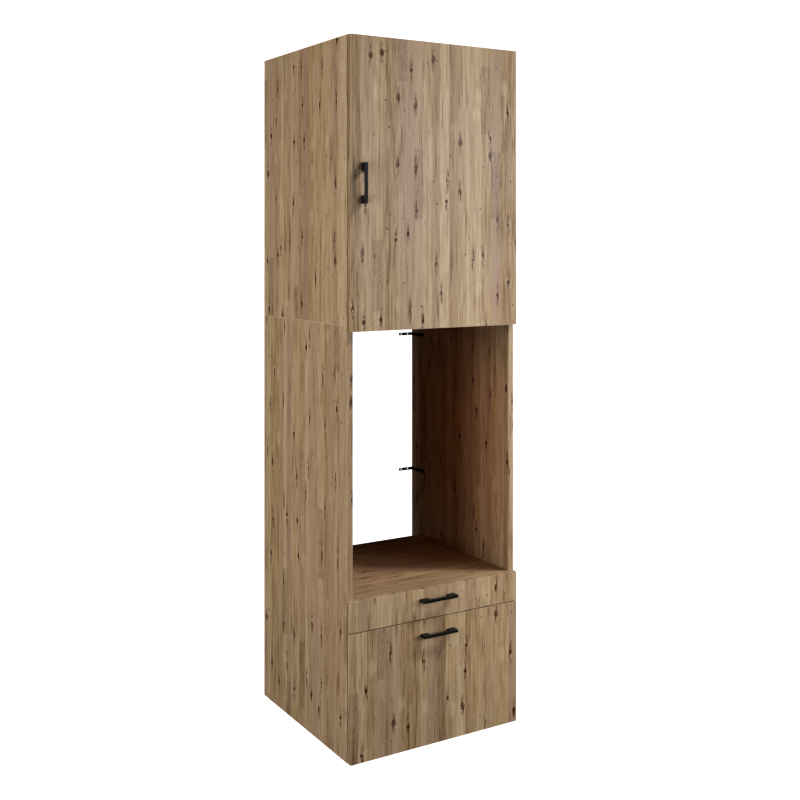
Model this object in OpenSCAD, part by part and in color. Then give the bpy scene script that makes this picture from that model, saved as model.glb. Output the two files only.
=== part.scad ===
// Tall housing cabinet for a built-in appliance: two stacked carcasses, an open niche,
// one hinged door above it and two drawers below it. Millimetres, +Z up, fronts face -Y.
// The origin is on the floor, at the middle of the cabinet with its handles.

/* [Cabinet] */
// Width over the side panels
cabinet_w = 600; // [450:10:900]
// Depth from the outer face of the fronts to the back edge of the side panels
cabinet_d = 600; // [580:5:700]
// Floor to the top face of the lower carcass
lower_h = 1276; // [1160:2:1500]
// Height of the upper carcass
upper_h = 851; // [600:1:1000]
// Thickness of every carcass panel
panel_t = 18; // [16:0.5:22]
// Thickness of the hardboard back panels
back_t = 3; // [2.5:0.5:5]
// Distance from the back edge of the sides to a back panel
back_inset = 12; // [8:1:25]
// Air gap between the niche floor and the back edge of the sides
niche_floor_gap = 62; // [40:1:90]
// Height of the glides under the side panels
glide_h = 3; // [2:0.5:6]
// Diameter of the glides
glide_d = 16; // [12:1:16]

/* [Fronts] */
// Thickness of the door and the drawer fronts
front_t = 16; // [15:0.5:19]
// Gap between the fronts and the front edge of the carcass
front_gap = 2; // [1.5:0.5:3]
// How far the fronts stay inside the outer faces of the sides
front_inset = 1; // [0.5:0.5:2]
// Gap between the two drawer fronts
front_joint = 3; // [2:0.5:5]
// Height of the deep drawer front
deep_front_h = 380; // [330:2:450]
// Height of the shallow drawer front
shallow_front_h = 91; // [88:1:150]
// How far the door reaches down over the lower carcass
door_drop = 16; // [6:1:17]
// Gap between the top of the door and the top of the cabinet
door_top_gap = 1; // [0:0.5:4]

/* [Handles] */
// Distance between the two screws of a handle
handle_pitch = 96; // [64:32:160]
// Length of each foot along the handle
handle_foot = 24; // [14:1:30]
// Width and thickness of the bar
handle_bar = 8; // [6:0.5:12]
// How far a handle stands out from its front
handle_reach = 26; // [22:1:36]
// Corner radius of the handles
handle_round = 1.5; // [0.5:0.25:2.5]
// Middle of the door handle to the free edge of the door
door_handle_inset = 40; // [25:1:60]
// Middle of the shallow drawer's handle to the top edge of its front
shallow_handle_drop = 33.5; // [30:0.5:48]
// Middle of the deep drawer's handle to the top edge of its front
deep_handle_drop = 45; // [30:1:60]
// Diameter of the handle screws
handle_screw_d = 4; // [3.5:0.5:5]

/* [Wall brackets] */
// Length of the leg on the side panel
bracket_side_leg = 80; // [60:1:110]
// Length of the leg along the back
bracket_back_leg = 55; // [45:1:80]
// Height of the steel strip
bracket_h = 10; // [9:0.5:16]
// Thickness of the steel strip
bracket_t = 2; // [1.5:0.25:3]
// Radius of the wall screw holes
bracket_hole_r = 2.5; // [2:0.25:3]
// Distance between the holes of a leg
bracket_hole_pitch = 26; // [18:1:36]
// Underside of the lower carcass top to the upper brackets
upper_bracket_drop = 69; // [30:1:120]
// Niche floor to the lower brackets
lower_bracket_rise = 226; // [80:1:400]

/* [Drawers] */
// Thickness of the drawer sides and backs
drawer_t = 15; // [12:1:18]
// Space between a drawer side and the cabinet side
runner_gap = 12.5; // [12.5:0.25:14]
// Length of the runners
runner_l = 500; // [400:50:500]
// How far a drawer pulls out
drawer_travel = 380; // [200:10:400]
// Height of the shallow drawer sides
shallow_side_h = 54; // [40:1:56]
// Height of the deep drawer sides
deep_side_h = 220; // [120:5:260]
// Thickness of the drawer bottoms
drawer_bottom_t = 3; // [2.5:0.5:5]
// Height of the drawer bottoms above the lower edge of the sides
drawer_bottom_rise = 10; // [8:1:14]

/* [Runners] */
// Height of the steel channel on the cabinet
runner_h = 30; // [28:1:36]
// Thickness of the runner steel
runner_t = 1.2; // [1:0.1:1.5]
// Diameter of the nylon rollers
roller_d = 22; // [20:0.5:22]
// Width of the nylon rollers
roller_w = 7; // [6:0.25:7]
// Diameter of the roller axles
axle_d = 5; // [4:0.25:6]
// Radial clearance of a roller on its axle
axle_clear = 0.08; // [0.05:0.01:0.1]

/* [Door hinges] */
// Diameter of the hinge cup
cup_d = 35; // [35:0.5:36]
// Depth of the hinge cup in the door
cup_depth = 11.5; // [11:0.25:12.5]
// Wood between the cup and the door edge
cup_edge = 5; // [4:0.5:6]
// Middle of a hinge to the top or the bottom edge of the door
hinge_inset = 110; // [80:5:160]
// Middle of the mounting plate to the front edge of the side
plate_setback = 37; // [37:1:45]
// Diameter of the hinge pins
hinge_pin_d = 2.4; // [2:0.1:2.6]

/* [Shelf and fittings] */
// Height of the shelf above the floor of the upper carcass
shelf_rise = 398; // [200:1:560]
// Gap between the shelf and the carcass sides
shelf_gap = 1; // [0.5:0.5:2]
// Diameter of the shelf pins
shelf_pin_d = 5; // [4:0.5:6]
// Diameter of the cam fittings
cam_d = 15; // [12:1:16]
// Height of the cam fittings
cam_h = 12.5; // [10:0.5:13]
// Distance from a cam to the end of its panel
cam_reach = 34; // [24:1:44]

/* [Hidden] */
$fn = 48;

// Reference planes
cabinet_h = lower_h + upper_h;
back_y = (cabinet_d + handle_reach) / 2;
face_y = back_y - cabinet_d;
front_back_y = face_y + front_t;
carcass_y = front_back_y + front_gap;
carcass_d = back_y - carcass_y;
inner_w = cabinet_w - 2 * panel_t;
inner_x = inner_w / 2;
front_w = cabinet_w - 2 * front_inset;
niche_top_z = lower_h - panel_t;
deep_front_z = glide_h;
shallow_front_z = deep_front_z + deep_front_h + front_joint;
niche_floor_z = shallow_front_z + shallow_front_h;
door_z = lower_h - door_drop;
door_h = cabinet_h - door_top_gap - door_z;
upper_floor_z = lower_h + panel_t;
upper_ceiling_z = cabinet_h - panel_t;

// Back panels and their grooves
groove_depth = 6;
groove_clear = 0.2;
groove_w = back_t + 2 * groove_clear;
back_panel_y = back_y - back_inset - back_t;
back_panel_w = inner_w + 2 * (groove_depth - groove_clear);

// Cam fittings
cam_edge = 60;
cam_clear = 0.1;
cam_recess = 0.3;
cam_bolt_d = 7;
cam_bolt_bore = 8;
cam_neck_d = 4;
cam_thread_d = 5;
cam_thread_l = 11;
cam_slot_w = 1.6;
cam_slot_depth = 2;
joining_screw_d = 5;
joining_head_d = 11;
joining_head_h = 2;
joining_inset = 90;
joining_setback = 45;
bore_clear = 0.2;
dowel_d = 8;
dowel_l = 30;
dowel_side = 11;
dowel_edge = 1;
dowel_step = 64;

// Underside, depth and cam face of each panel that cam fittings hold
JOINT_PANELS = [
  [glide_h, carcass_d, false],
  [niche_floor_z - panel_t, carcass_d - niche_floor_gap, false],
  [niche_top_z, carcass_d, true],
  [lower_h, carcass_d, false],
  [upper_ceiling_z, carcass_d, false]
];
LOWER_JOINTS = [0, 1, 2];
UPPER_JOINTS = [3, 4];
function joint_ys(j, edge) = [carcass_y + edge, carcass_y + JOINT_PANELS[j][1] - edge];
function cam_ys(j) = joint_ys(j, cam_edge);
function dowel_ys(j) = joint_ys(j, cam_edge + dowel_step);
function panel_mid_z(j) = JOINT_PANELS[j][0] + panel_t / 2;

// Shelf pins
pin_setback = 60;
pin_row_pitch = 32;
pin_rows = [-1, 0, 1];
pin_reach = 9;
pin_depth = 10;
shelf_z = upper_floor_z + shelf_rise;
shelf_setback = 20;
pin_ys = [carcass_y + shelf_setback + pin_setback, back_panel_y - shelf_gap - pin_setback];

// Glides
glide_inset = 45;
glide_stem_d = 5;
glide_stem_l = 10;

// Wall brackets
bracket_bend = 2;
bracket_back_tip = 9;
bracket_side_tip = 26;
bracket_hole_edge = bracket_back_leg - bracket_hole_pitch - bracket_back_tip;
bracket_side_hole_edge = bracket_side_leg - bracket_hole_pitch - bracket_side_tip;
bracket_zs = [niche_top_z - upper_bracket_drop, niche_floor_z + lower_bracket_rise];
bracket_screw_d = 3.5;
bracket_screw_l = 14;
bracket_screw_head_d = 7;
bracket_screw_head_h = 1.6;

// Drawers: the lower edge and the height of the box, and the zone of the front
box_y = front_back_y;
box_l = runner_l + front_gap;
box_w = inner_w - 2 * runner_gap;
runner_lift = 4;
shallow_box_rise = 10;
deep_box_rise = 14;
shallow_box_z = shallow_front_z + shallow_box_rise;
deep_box_z = glide_h + panel_t + deep_box_rise;

// Runner cross section, measured from the cabinet side and from the base of the channel
runner_y = carcass_y + front_gap;
track_play = 2;
track_reach = runner_gap - track_play;
cover_reach = 8;
run_play = 0.6;
roll_gap = 0.3;
run_under = runner_h - runner_t - run_play - runner_t;
run_reach = 9.5;
roller_edge = 12;
front_roller_z = run_under - roll_gap - roller_d / 2;
rear_roller_z = runner_t + roll_gap + roller_d / 2;
axle_head_d = 8;
axle_head_h = 0.8;
axle_shoulder = 0.8;
roller_side_gap = 0.2;
stop_h = 3;
stop_l = 6;
runner_screw_d = 5;
runner_screw_head_d = 7;
runner_screw_head_h = 1.4;
runner_screw_l = 11;
runner_screw_drop = 9;
runner_screw_inset = 45;
runner_screw_share = 0.45;
runner_screw_z = runner_h - runner_screw_drop;
runner_screw_ys = [runner_screw_inset, runner_l * runner_screw_share, runner_l - runner_screw_inset];
carry_screw_d = 3.5;
carry_screw_head_d = 6;
carry_screw_head_h = 1.4;
carry_screw_l = 12;
carry_screw_in = 6;
carry_screw_inset = 60;
carry_screw_ys = [carry_screw_inset, runner_l - carry_screw_inset];

// Handles and their screws
shallow_handle_z = shallow_front_z + shallow_front_h - shallow_handle_drop;
deep_handle_z = deep_front_z + deep_front_h - deep_handle_drop;
handle_l = handle_pitch + handle_foot;
handle_thread_l = 12;
handle_head_d = 8;
handle_head_h = 2;

// Drawer boxes
drawer_groove_w = drawer_bottom_t + 2 * groove_clear;
drawer_screw_d = 4;
drawer_screw_l = 25;
drawer_screw_edge = 12;
drawer_screw_head_d = 8;
drawer_screw_head_h = 3;
front_cam_h = drawer_t - 3;
front_cam_reach = 24;
front_cam_edge = 35;
two_cams_h = 110;
carry_reach = 11;
axle_l = axle_shoulder + 2 * roller_side_gap + roller_w + axle_head_h + 0.2;
stop_y = runner_l - roller_edge - drawer_travel - roll_gap - stop_l
  - sqrt(pow(roller_d / 2, 2) - pow(rear_roller_z - runner_t - stop_h, 2));
bracket_side_ys = [for (i = [0, 1]) back_y - bracket_side_hole_edge - i * bracket_hole_pitch];

// Cup hinges: pins of the arm and of the cup, in plan
hinge_zs = [door_z + hinge_inset, door_z + door_h - hinge_inset];
cup_x = -front_inset - cup_edge - cup_d / 2;
cup_clear = 0.1;
cup_wall = 1;
flange_t = 1.2;
flange_rim = 2.5;
flange_ear = 5.5;
cup_screw_pitch = 48;
cup_screw_offset = 6;
cup_screw_d = 3.5;
cup_screw_l = 11;
cup_screw_head_d = 7;
cup_screw_head_h = 1.4;
arm_outer_in = 17.2;
arm_outer_ahead = 7;
arm_inner_in = 20;
arm_inner_behind = 2.6;
cup_outer_out = 11.5;
cup_outer_deep = 6.15;
cup_inner_out = 10.95;
cup_inner_deep = 1.6;
arm_outer_pin = [-panel_t - arm_outer_in, -front_gap - arm_outer_ahead];
arm_inner_pin = [-panel_t - arm_inner_in, -front_gap + arm_inner_behind];
cup_outer_pin = [cup_x + cup_outer_out, -front_gap - cup_outer_deep];
cup_inner_pin = [cup_x + cup_inner_out, -front_gap - cup_inner_deep];
pin_clear = 0.05;
link_eye = 4.6;
link_play = 0.3;
cheek_t = 1.4;
inner_link_h = 5.2;
ear_t = 0.8;
ear_w = 4;
ear_z = inner_link_h / 2 + link_play;
outer_link_z = ear_z + ear_t + link_play;
arm_cheek_z = outer_link_z + cheek_t + 2 * link_play;
outer_bar_w = 2.6;
outer_bow = 1.6;
inner_bar_w = 2.4;
slot_side = 0.7;
slot_in = 1.35;
slot_out = 2.3;
slot_wall = 0.8;
arm_eye = 4.8;
arm_cheek_t = 1.2;
arm_rise = 13;
arm_foot = 2.4;
arm_y0 = 20;
arm_y1 = 64;
arm_gate = 16.6;
gate_drop = 2;
arm_bar_w = 2.6;
arm_bar_shift = 0.65;
arm_screw_d = 4;
arm_screw_back = 12;
arm_screw_head_d = 7;
arm_screw_head_h = 2;
plate_t = 2;
plate_wing = 12;
plate_ridge_w = 11;
plate_ridge_l = 44;
plate_screw_pitch = 32;
plate_screw_d = 5;
plate_screw_l = 12;
plate_screw_head_d = 7;
plate_screw_head_h = 1.5;
bumper_d = 8;
bumper_inset = 60;
seat_gap = 0.3;

// Cross recess of the screws, as shares of the head
recess_l = 0.6;
recess_w = 0.16;
recess_h = 0.7;

SIDES = [-1, 1];

// Carcass boards
module board(x, y, z, w, d, h) {
  translate([x, y, z]) cube([w, d, h]);
}

module cross_recess(head_d, depth) {
  for (a = [0, 90]) rotate([0, 0, a]) translate([-head_d * recess_l / 2, -head_d * recess_w / 2, -1])
    cube([head_d * recess_l, head_d * recess_w, depth + 1]);
}

// Pan-head screw: the head stands on z = 0 and the shaft points down
module screw(head_d, head_h, d, l) {
  difference() {
    cylinder(d1 = head_d, d2 = head_d - 2, h = head_h);
    translate([0, 0, head_h]) mirror([0, 0, 1]) cross_recess(head_d, head_h * recess_h);
  }
  translate([0, 0, -l]) cylinder(d = d, h = l + head_h / 5);
}

// Blind or through hole along X, from the inner face of a side into the side
module side_hole(s, y, z, d, depth) {
  translate([s * (inner_x - 1), y, z]) rotate([0, s * 90, 0]) cylinder(d = d, h = depth + 1);
}

module back_groove(s, z0, z1) {
  x = s > 0 ? inner_x - 1 : -inner_x - groove_depth;
  board(x, back_panel_y - groove_clear, z0, groove_depth + 1, groove_w, z1 - z0);
}

module side_panel(s, z0, z1, joints) {
  difference() {
    board(s > 0 ? inner_x : -cabinet_w / 2, carcass_y, z0, panel_t, carcass_d, z1 - z0);
    for (j = joints, y = cam_ys(j))
      side_hole(s, y, panel_mid_z(j), cam_thread_d + bore_clear, cam_thread_l + 1);
    for (j = joints, y = dowel_ys(j))
      side_hole(s, y, panel_mid_z(j), dowel_d + bore_clear, dowel_side + 1);
    children();
  }
}

module lower_side(s) {
  color("BurlyWood")
  side_panel(s, glide_h, lower_h, LOWER_JOINTS) {
    back_groove(s, glide_h + panel_t - groove_depth, niche_floor_z - panel_t);
    for (z = bracket_zs, y = bracket_side_ys)
      side_hole(s, y, z, bracket_screw_d + bore_clear, bracket_screw_l);
    for (z = [shallow_box_z, deep_box_z], y = runner_screw_ys)
      side_hole(s, runner_y + y, z - runner_lift + runner_screw_z,
        runner_screw_d + bore_clear, runner_screw_l);
    glide_places() translate([0, 0, glide_h - 1])
      cylinder(d = glide_stem_d + bore_clear, h = glide_stem_l + 2);
  }
}

module upper_side(s) {
  color("BurlyWood")
  side_panel(s, lower_h, cabinet_h, UPPER_JOINTS) {
    back_groove(s, upper_floor_z - groove_depth, upper_ceiling_z + groove_depth);
    for (y = pin_ys, r = pin_rows)
      side_hole(s, y, shelf_z - shelf_pin_d / 2 + r * pin_row_pitch, shelf_pin_d + bore_clear, pin_depth);
    if (s > 0)
      for (z = hinge_zs, dz = SIDES)
        side_hole(s, carcass_y + plate_setback, z + dz * plate_screw_pitch / 2,
          plate_screw_d + bore_clear, plate_screw_l);
  }
}

module cam_place(j, s, y) {
  up = JOINT_PANELS[j][2];
  translate([s * (inner_x - cam_reach), y, JOINT_PANELS[j][0] + (up ? panel_t : 0)])
    mirror([0, 0, up ? 1 : 0]) mirror([s < 0 ? 1 : 0, 0, 0]) children();
}

// A cam and the way in for its bolt, in the frame of the face that it is let into; the bolt runs along +X
module cam_bores(t = panel_t, h = cam_h, reach = cam_reach) {
  translate([0, 0, -1]) cylinder(d = cam_d + bore_clear, h = h + cam_clear + 1);
  translate([0, 0, t / 2]) rotate([0, 90, 0]) cylinder(d = cam_bolt_bore, h = reach + 1);
}

module cam_lock(t = panel_t, h = cam_h) {
  difference() {
    translate([0, 0, cam_recess]) cylinder(d = cam_d, h = h - cam_recess);
    translate([0, 0, t / 2]) rotate([0, 90, 0]) cylinder(d = cam_bolt_bore, h = cam_d);
    for (a = [0, 90]) rotate([0, 0, a + 45])
      translate([-cam_d / 3, -cam_slot_w / 2, -1])
        cube([cam_d * 2 / 3, cam_slot_w, cam_recess + cam_slot_depth + 1]);
  }
}

module cam_bolt(t = panel_t, reach = cam_reach) {
  head = 4;
  neck = 4;
  translate([1, 0, t / 2]) rotate([0, 90, 0]) {
    cylinder(d = cam_bolt_d, h = head);
    cylinder(d = cam_neck_d, h = head + neck + 1);
    translate([0, 0, head + neck]) cylinder(d = cam_bolt_d, h = reach - 1 - head - neck);
    translate([0, 0, head + neck + 1])
      cylinder(d = cam_thread_d, h = reach - head - neck - 2 + cam_thread_l);
  }
}

// Dowel place, with Z from the inner face of a side towards the middle of the cabinet
module dowel_places(joints) {
  for (j = joints, s = SIDES, y = dowel_ys(j))
    translate([s * inner_x, y, panel_mid_z(j)]) rotate([0, -s * 90, 0]) children();
}

// Beech dowel with chamfered ends
module dowel() {
  translate([0, 0, -dowel_side]) {
    cylinder(d1 = dowel_d - 2 * dowel_edge, d2 = dowel_d, h = dowel_edge);
    translate([0, 0, dowel_edge]) cylinder(d = dowel_d, h = dowel_l - 2 * dowel_edge);
    translate([0, 0, dowel_l - dowel_edge])
      cylinder(d1 = dowel_d, d2 = dowel_d - 2 * dowel_edge, h = dowel_edge);
  }
}

module cross_panel(j) {
  p = JOINT_PANELS[j];
  color("BurlyWood")
  difference() {
    board(-inner_x, carcass_y, p[0], inner_w, p[1], panel_t);
    for (s = SIDES, y = cam_ys(j)) cam_place(j, s, y) cam_bores();
    dowel_places([j]) translate([0, 0, -1])
      cylinder(d = dowel_d + bore_clear, h = dowel_l - dowel_side + 2);
    children();
  }
}

module panel_groove(z0) {
  board(-inner_x - 1, back_panel_y - groove_clear, z0, inner_w + 2, groove_w, groove_depth + 1);
}

module joining_places() {
  for (s = SIDES, y = [carcass_y + joining_setback, back_panel_y - joining_setback])
    translate([s * (inner_x - joining_inset), y, 0]) children();
}

module joining_bores(z) {
  joining_places() translate([0, 0, z - 1])
    cylinder(d = joining_screw_d + 2 * bore_clear, h = panel_t + 2);
}

module bottom_panel() {
  cross_panel(0) panel_groove(glide_h + panel_t - groove_depth);
}

module niche_floor() {
  cross_panel(1);
}

module lower_top_panel() {
  cross_panel(2) joining_bores(niche_top_z);
}

module upper_bottom_panel() {
  cross_panel(3) {
    joining_bores(lower_h);
    panel_groove(upper_floor_z - groove_depth);
  }
}

module upper_top_panel() {
  cross_panel(4) panel_groove(upper_ceiling_z - 1);
}

module back_panel(z0, z1) {
  color("Tan") board(-back_panel_w / 2, back_panel_y, z0, back_panel_w, back_t, z1 - z0);
}

module drawer_back_panel() {
  back_panel(glide_h + panel_t - groove_depth + groove_clear, niche_floor_z - panel_t - 2);
}

module upper_back_panel() {
  back_panel(upper_floor_z - groove_depth + groove_clear, upper_ceiling_z + groove_depth - groove_clear);
}

module shelf() {
  color("BurlyWood")
  board(-inner_x + shelf_gap, carcass_y + shelf_setback, shelf_z,
    inner_w - 2 * shelf_gap, back_panel_y - shelf_gap - carcass_y - shelf_setback, panel_t);
}

module shelf_pins() {
  color("Silver")
  for (s = SIDES, y = pin_ys)
    translate([s * inner_x, y, shelf_z - shelf_pin_d / 2]) rotate([0, -s * 90, 0]) {
      translate([0, 0, 1 - pin_depth]) cylinder(d = shelf_pin_d, h = pin_depth - 1 + pin_reach);
      cylinder(d = shelf_pin_d + 3, h = shelf_gap * 0.8);
    }
}

module glide_places() {
  for (s = SIDES, y = [carcass_y + glide_inset, back_y - glide_inset])
    translate([s * (cabinet_w - panel_t) / 2, y, 0]) children();
}

module glides() {
  color("DimGray") glide_places() {
    cylinder(d1 = glide_d - 2, d2 = glide_d, h = glide_h * 0.4);
    translate([0, 0, glide_h * 0.4]) cylinder(d = glide_d, h = glide_h * 0.6);
    translate([0, 0, glide_h / 2]) cylinder(d = glide_stem_d, h = glide_h / 2 + glide_stem_l);
  }
}

module cam_locks() {
  color("Silver")
  for (j = concat(LOWER_JOINTS, UPPER_JOINTS), s = SIDES, y = cam_ys(j)) cam_place(j, s, y) cam_lock();
}

module cam_bolts() {
  color("Gainsboro")
  for (j = concat(LOWER_JOINTS, UPPER_JOINTS), s = SIDES, y = cam_ys(j)) cam_place(j, s, y) cam_bolt();
}

module dowels() {
  color("Wheat") dowel_places(concat(LOWER_JOINTS, UPPER_JOINTS)) dowel();
}

// Joining screw from below and its cap nut from above
module joining_screws() {
  color("Silver")
  joining_places() {
    translate([0, 0, niche_top_z]) mirror([0, 0, 1])
      screw(joining_head_d, joining_head_h, joining_screw_d, 2 * panel_t + joining_head_h / 4);
    translate([0, 0, upper_floor_z]) screw(joining_head_d, joining_head_h, joining_screw_d - 1, 1);
  }
}

// Steel strip bent to an L, in the frame of the corner between the side and the back plane
module wall_bracket() {
  r = bracket_bend + bracket_t;
  difference() {
    union() {
      translate([0, r, 0]) cube([bracket_t, bracket_side_leg - r, bracket_h]);
      translate([r, 0, 0]) cube([bracket_back_leg - r, bracket_t, bracket_h]);
      translate([r, r, 0]) intersection() {
        difference() {
          cylinder(r = r, h = bracket_h);
          translate([0, 0, -1]) cylinder(r = bracket_bend, h = bracket_h + 2);
        }
        translate([-r, -r, 0]) cube([r, r, bracket_h]);
      }
    }
    for (i = [0, 1]) {
      translate([bracket_hole_edge + i * bracket_hole_pitch, -1, bracket_h / 2])
        rotate([-90, 0, 0]) cylinder(r = bracket_hole_r, h = bracket_t + 2);
      translate([-1, bracket_side_hole_edge + i * bracket_hole_pitch, bracket_h / 2])
        rotate([0, 90, 0]) cylinder(d = bracket_screw_d + 2 * bore_clear, h = bracket_t + 2);
    }
  }
}

module bracket_places() {
  for (s = SIDES, z = bracket_zs)
    translate([s * inner_x, back_y, z]) mirror([s > 0 ? 1 : 0, 0, 0]) mirror([0, 1, 0])
      translate([0, 0, -bracket_h / 2]) children();
}

module wall_brackets() {
  color("Black") bracket_places() wall_bracket();
}

module bracket_screws() {
  color("Silver")
  bracket_places() for (i = [0, 1])
    translate([bracket_t, bracket_side_hole_edge + i * bracket_hole_pitch, bracket_h / 2])
      rotate([0, 90, 0])
      screw(bracket_screw_head_d, bracket_screw_head_h, bracket_screw_d, bracket_t + bracket_screw_l - 1);
}

// Handles, with u along the handle and v away from the front
function arc(x, y, r, a0, a1, n = 4) =
  [for (i = [0 : n]) let (a = a0 + (a1 - a0) * i / n) [x + r * cos(a), y + r * sin(a)]];

module handle_outline() {
  h = handle_l / 2;
  t = handle_reach;
  r = handle_round;
  polygon(concat(
    [[-h, 0]], arc(-h + r, t - r, r, 180, 90), arc(h - r, t - r, r, 90, 0), [[h, 0]],
    [[h - handle_foot, 0]], arc(h - handle_foot - r, t - handle_bar - r, r, 0, 90),
    arc(-h + handle_foot + r, t - handle_bar - r, r, 90, 180), [[-h + handle_foot, 0]]
  ));
}

module handle_section() {
  w = handle_bar / 2;
  r = handle_round;
  y = handle_reach - r;
  polygon(concat([[-w, 0]], arc(-w + r, y, r, 180, 90), arc(w - r, y, r, 90, 0), [[w, 0]]));
}

module handle() {
  color("#1c1b1a")
  difference() {
    intersection() {
      translate([0, 0, -handle_bar]) linear_extrude(height = 2 * handle_bar) handle_outline();
      rotate([0, 90, 0]) translate([0, 0, -handle_l])
        linear_extrude(height = 2 * handle_l) handle_section();
    }
    for (s = SIDES) translate([s * handle_pitch / 2, -1, 0]) rotate([-90, 0, 0])
      cylinder(d = handle_screw_d + bore_clear, h = handle_thread_l + 1);
  }
}

// Places a handle, drawn with v along +Y, on the outer face of a front
module on_front(x, z, upright) {
  translate([x, face_y, z]) rotate([0, upright ? 90 : 0, 0]) mirror([0, 1, 0]) children();
}

module handle_screws() {
  color("Silver")
  for (s = SIDES) translate([s * handle_pitch / 2, -front_t, 0]) rotate([90, 0, 0])
    screw(handle_head_d, handle_head_h, handle_screw_d, handle_thread_l + front_t - 1);
}

module handle_bores() {
  for (s = SIDES) translate([s * handle_pitch / 2, 1, 0]) rotate([90, 0, 0])
    cylinder(d = handle_screw_d + 2 * bore_clear, h = front_t + 2);
}

module front_board(z, h) {
  board(-front_w / 2, face_y, z, front_w, front_t, h);
}

// Drawers, each given by the underside and height of its front and of its box
module drawer_front(z, h, box_z, side_h, handle_z) {
  color("BurlyWood")
  difference() {
    front_board(z, h);
    on_front(0, handle_z, false) handle_bores();
    board(-box_w / 2 + drawer_t - groove_depth, front_back_y - groove_depth, box_z + drawer_bottom_rise,
      box_w - 2 * drawer_t + 2 * groove_depth, groove_depth + 1, drawer_groove_w);
    for (s = SIDES) front_cam_places(s, box_z, side_h)
      translate([front_cam_reach - 1, 0, drawer_t / 2]) rotate([0, 90, 0])
        cylinder(d = cam_thread_d + bore_clear, h = cam_thread_l + 2);
  }
}

module drawer_handle(z) {
  on_front(0, z, false) handle();
}

module drawer_handle_screws(z) {
  on_front(0, z, false) handle_screws();
}

module drawer_side(s, box_z, side_h) {
  x = s > 0 ? box_w / 2 - drawer_t : -box_w / 2;
  groove_x = s > 0 ? x - 1 : x + drawer_t - groove_depth;
  color("BurlyWood")
  difference() {
    board(x, box_y, box_z, drawer_t, box_l, side_h);
    board(groove_x, box_y - 1, box_z + drawer_bottom_rise, groove_depth + 1, box_l + 2, drawer_groove_w);
    drawer_screw_places(s, box_z, side_h) {
      translate([0, 0, -1]) cylinder(d = drawer_screw_d + 2 * bore_clear, h = drawer_t + 2);
      drawer_screw_head(bore_clear);
    }
    front_cam_places(s, box_z, side_h) cam_bores(drawer_t, front_cam_h, front_cam_reach);
    carry_screw_places(s, box_z) cylinder(d = carry_screw_d + bore_clear, h = runner_t + carry_screw_l + 1);
  }
}

module drawer_back(box_z, side_h) {
  z = box_z + drawer_bottom_rise + drawer_groove_w;
  color("BurlyWood")
  difference() {
    board(-box_w / 2 + drawer_t, box_y + box_l - drawer_t, z,
      box_w - 2 * drawer_t, drawer_t, box_z + side_h - z);
    for (s = SIDES) drawer_screw_places(s, box_z, side_h)
      cylinder(d = drawer_screw_d + 2 * bore_clear, h = drawer_t + drawer_screw_l + 1);
  }
}

module drawer_bottom(box_z) {
  w = box_w - 2 * drawer_t + 2 * (groove_depth - groove_clear);
  color("Tan")
  board(-w / 2, box_y - groove_depth + groove_clear, box_z + drawer_bottom_rise + groove_clear,
    w, box_l + groove_depth - groove_clear - 2, drawer_bottom_t);
}

// Where screws pass through a drawer side into the back, with Z towards the middle of the drawer
module drawer_screw_places(s, box_z, side_h) {
  z0 = box_z + drawer_bottom_rise + drawer_groove_w;
  for (z = [z0 + drawer_screw_edge, box_z + side_h - drawer_screw_edge])
    translate([s * box_w / 2, box_y + box_l - drawer_t / 2, z]) rotate([0, -s * 90, 0]) children();
}

// Countersunk head that widens to the outer face of a drawer side
module drawer_screw_head(clear) {
  cylinder(d1 = drawer_screw_head_d + 2 * clear, d2 = drawer_screw_d + 2 * clear, h = drawer_screw_head_h);
}

module drawer_screw() {
  difference() {
    union() {
      drawer_screw_head(0);
      cylinder(d = drawer_screw_d, h = drawer_t + drawer_screw_l);
    }
    cross_recess(drawer_screw_head_d, drawer_screw_head_h * recess_h);
  }
}

// Cams in a drawer side: Z runs into the side from its inner face and X to the front
module front_cam_places(s, box_z, side_h) {
  z0 = box_z + drawer_bottom_rise + drawer_groove_w;
  z1 = box_z + side_h;
  zs = side_h > two_cams_h ? [z0 + front_cam_edge, z1 - front_cam_edge] : [(z0 + z1) / 2];
  for (z = zs) translate([s * (box_w / 2 - drawer_t), front_back_y + front_cam_reach, z])
    rotate([0, s * 90, 0]) rotate([0, 0, -90]) children();
}

// Screws up through the flange of a drawer runner into the drawer side, with Z upwards
module carry_screw_places(s, box_z) {
  on_drawer_runner(s, box_z) for (y = carry_screw_ys)
    translate([-carry_screw_in, y, runner_lift - runner_t]) children();
}

// Screws of the back and of the runners, and cams that hold the front
module drawer_fittings(box_z, side_h) {
  color("Silver")
  for (s = SIDES) {
    drawer_screw_places(s, box_z, side_h) drawer_screw();
    front_cam_places(s, box_z, side_h) {
      cam_lock(drawer_t, front_cam_h);
      cam_bolt(drawer_t, front_cam_reach);
    }
    carry_screw_places(s, box_z) mirror([0, 0, 1])
      screw(carry_screw_head_d, carry_screw_head_h, carry_screw_d, runner_t + carry_screw_l);
  }
}

// Runner places: u points from the cabinet side into the cabinet, y runs back, z up from the channel
module on_runner(s, box_z) {
  translate([s * inner_x, runner_y, box_z - runner_lift]) mirror([s > 0 ? 1 : 0, 0, 0]) children();
}

// The same place, with u from the drawer side towards the cabinet
module on_drawer_runner(s, box_z) {
  on_runner(s, box_z) translate([runner_gap, 0, 0]) mirror([1, 0, 0]) children();
}

module along_y(l) {
  mirror([0, 1, 0]) rotate([90, 0, 0]) linear_extrude(height = l) children();
}

module cabinet_section() {
  t = runner_t;
  polygon([[0, 0], [track_reach, 0], [track_reach, t], [t, t], [t, runner_h - t],
    [cover_reach, runner_h - t], [cover_reach, runner_h], [0, runner_h]]);
}

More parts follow.
